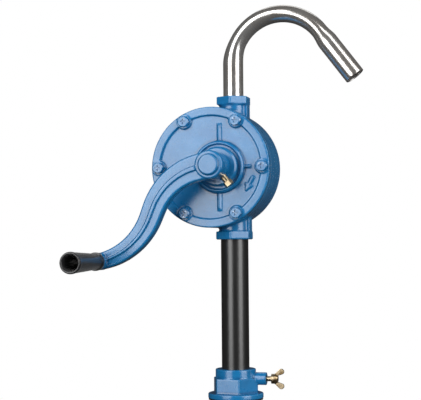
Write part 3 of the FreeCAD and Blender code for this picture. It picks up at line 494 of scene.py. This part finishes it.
def grip():
    """The moulded sleeve: a collar at the arm, a waist, a slow flare and a rounded open lip.

    Each stretch lists the distance in front of the arm and the radius, in millimetres.
    """
    collar = [(0.0, 9.6), (0.25, 10.55), (0.9, 11.0), (3.0, 11.05), (5.4, 11.0), (6.4, 10.7), (7.6, 10.15)]
    waist = [(9.5, 9.92), (14.0, 9.9), (22.0, 10.15)]
    flare = [(34.0, 10.6), (48.0, 11.1), (64.0, 11.65), (76.0, 12.05), (80.7, 12.2)]
    lip = [(82.4, 12.35), (83.4, 12.6), (84.6, 12.7), (86.6, 12.7), (87.8, 12.45), (88.4, 11.9)]
    mouth = [(88.4, 10.4), (87.9, 9.9), (86.8, 9.7)]
    hollow = [(68.0, 9.25), (46.0, 8.7), (28.0, 8.2), (25.6, 8.0), (19.9, 8.0), (19.6, 7.7)]
    spindle_hole = [(19.6, 5.5), (19.2, 5.1), (0.4, 5.1), (0.0, 5.5)]
    low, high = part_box("grip_sleeve")
    middle = (low + high) / 2
    rings = []
    for forward, radius in collar + waist + flare + lip + mouth + hollow + spindle_hole:
        at = Vector((middle.x, high.y - forward * MM, middle.z))
        ring = []
        for k in range(AROUND):
            turn = 2 * math.pi * k / AROUND
            ring.append(at + Vector((math.cos(turn), 0, math.sin(turn))) * (radius * MM))
        rings.append(ring)
    return stand_for(skin("grip_sleeve_moulding", rings), "grip_sleeve")


# ------------------------------------------------------------------- the model

def model():
    """The pieces that stand for CAD nodes, grains in millimetres, then every CAD node in its material."""
    bored(casting("pump_casing", grain=1.0, passes=3))
    casting("front_cover", grain=0.72, passes=3)
    casting("seal_retainer", grain=0.5, passes=3)
    casting("crank_arm", grain=0.62, passes=4)
    casting("bung_adaptor", grain=0.6, passes=2)
    casting("wing_head", grain=0.25, passes=5)
    spout()
    grip()
    for name, thing in NODES.items():
        paint(thing, SLOT_OF[name])


# ------------------------------------------------------- stage, lights, camera

def pale_floor():
    """A sheet of pale paper under the object; the object neither mirrors it nor is lit by it."""
    height = CAD_BOX[0].z
    bpy.ops.mesh.primitive_circle_add(vertices=96, radius=5, fill_type="NGON", location=(0, 0, height))
    floor = bpy.context.object
    floor.name = "floor"
    material, tree, shader = new_material("floor_paper")
    tone = mix(tree, ramp(tree, noise(tree, 3), 0.3, 0.7), FLOOR, FLOOR_LIGHT)
    normal = bump(tree, noise(tree, 400), 0.05 * MM, strength=0.2)
    connect(tree, shader, tone, ramp(tree, noise(tree, 9), 0.3, 0.7, 0.75, 0.9), normal)
    floor.data.materials.append(material)
    shader.inputs["Emission Color"].default_value = (1, 1, 1, 1)
    shader.inputs["Emission Strength"].default_value = 0.5
    floor.visible_glossy = False
    floor.visible_diffuse = False
    return floor


def white_surround():
    """A glowing sphere round everything that only the camera sees."""
    bpy.ops.mesh.primitive_uv_sphere_add(segments=64, ring_count=32, radius=14, location=(0, 0, 0))
    surround = bpy.context.object
    surround.name = "surround"
    glow = bpy.data.materials.new("surround_glow")
    glow.use_nodes = True
    tree = glow.node_tree
    tree.nodes.clear()
    light = node(tree, "Emission")
    light.inputs["Color"].default_value = (1, 1, 1, 1)
    light.inputs["Strength"].default_value = 1.0
    link(tree, light.outputs["Emission"], node(tree, "OutputMaterial").inputs["Surface"])
    surround.data.materials.append(glow)
    for ray in ("diffuse", "glossy", "transmission", "shadow", "volume_scatter"):
        setattr(surround, "visible_" + ray, False)
    return surround


def dim_world():
    world = bpy.data.worlds.new("studio")
    world.use_nodes = True
    background = world.node_tree.nodes["Background"]
    background.inputs["Color"].default_value = (1.0, 0.97, 0.93, 1)
    background.inputs["Strength"].default_value = 0.035
    bpy.context.scene.world = world


def stage():
    floor = pale_floor()
    surround = white_surround()
    dim_world()


def softbox(name, azimuth, height, distance, size, radiance):
    """A rectangular light at an azimuth round the pump, aimed level with the cover's lower edge."""
    lamp = bpy.data.lights.new(name, "AREA")
    lamp.shape = "RECTANGLE"
    lamp.size, lamp.size_y = size
    lamp.energy = radiance * math.pi * size[0] * size[1]
    thing = bpy.data.objects.new(name, lamp)
    turn = math.radians(azimuth)
    thing.location = (distance * math.sin(turn), -distance * math.cos(turn), height)
    target = Vector((0, 0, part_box("front_cover")[0].z))
    thing.rotation_euler = (target - thing.location).to_track_quat("-Z", "Y").to_euler()
    bpy.context.scene.collection.objects.link(thing)
    return thing


def lights():
    softbox("box_left", azimuth=-26, height=0.92, distance=2.2, size=(1.45, 2.6), radiance=3.9)
    softbox("box_right", azimuth=61, height=0.92, distance=2.2, size=(1.45, 2.6), radiance=3.75)
    softbox("side_right", azimuth=96, height=0.6, distance=2.2, size=(0.6, 1.6), radiance=0.12)
    softbox("back", azimuth=185, height=2.2, distance=1.9, size=(1.6, 1.0), radiance=1.2)
    rear = softbox("rear_fill", azimuth=158, height=0.9, distance=2.4, size=(1.8, 2.2), radiance=3.0)
    rear.visible_glossy = False


def camera():
    """The viewpoint: level with the casing's lower port, a little to its right, turned and tipped."""
    azimuth = math.radians(13.19)
    distance = 1.506
    height = 0.1942
    pan = math.radians(1.12)
    tip = math.radians(1.94)
    roll = math.radians(-0.45)
    lens = bpy.data.cameras.new("camera")
    lens.sensor_width = 36
    lens.lens = 104.1
    thing = bpy.data.objects.new("camera", lens)
    turn = (
        Matrix.Rotation(azimuth + pan, 4, "Z")
        @ Matrix.Rotation(math.pi / 2 + tip, 4, "X")
        @ Matrix.Rotation(roll, 4, "Z")
    )
    spot = Vector((distance * math.sin(azimuth), -distance * math.cos(azimuth), height))
    thing.matrix_world = Matrix.Translation(spot) @ turn
    bpy.context.scene.collection.objects.link(thing)
    bpy.context.scene.camera = thing


def studio_view():
    bpy.context.scene.view_settings.view_transform = "Standard"
    bpy.context.scene.view_settings.exposure = 0.0


model()
stage()
lights()
camera()
studio_view()
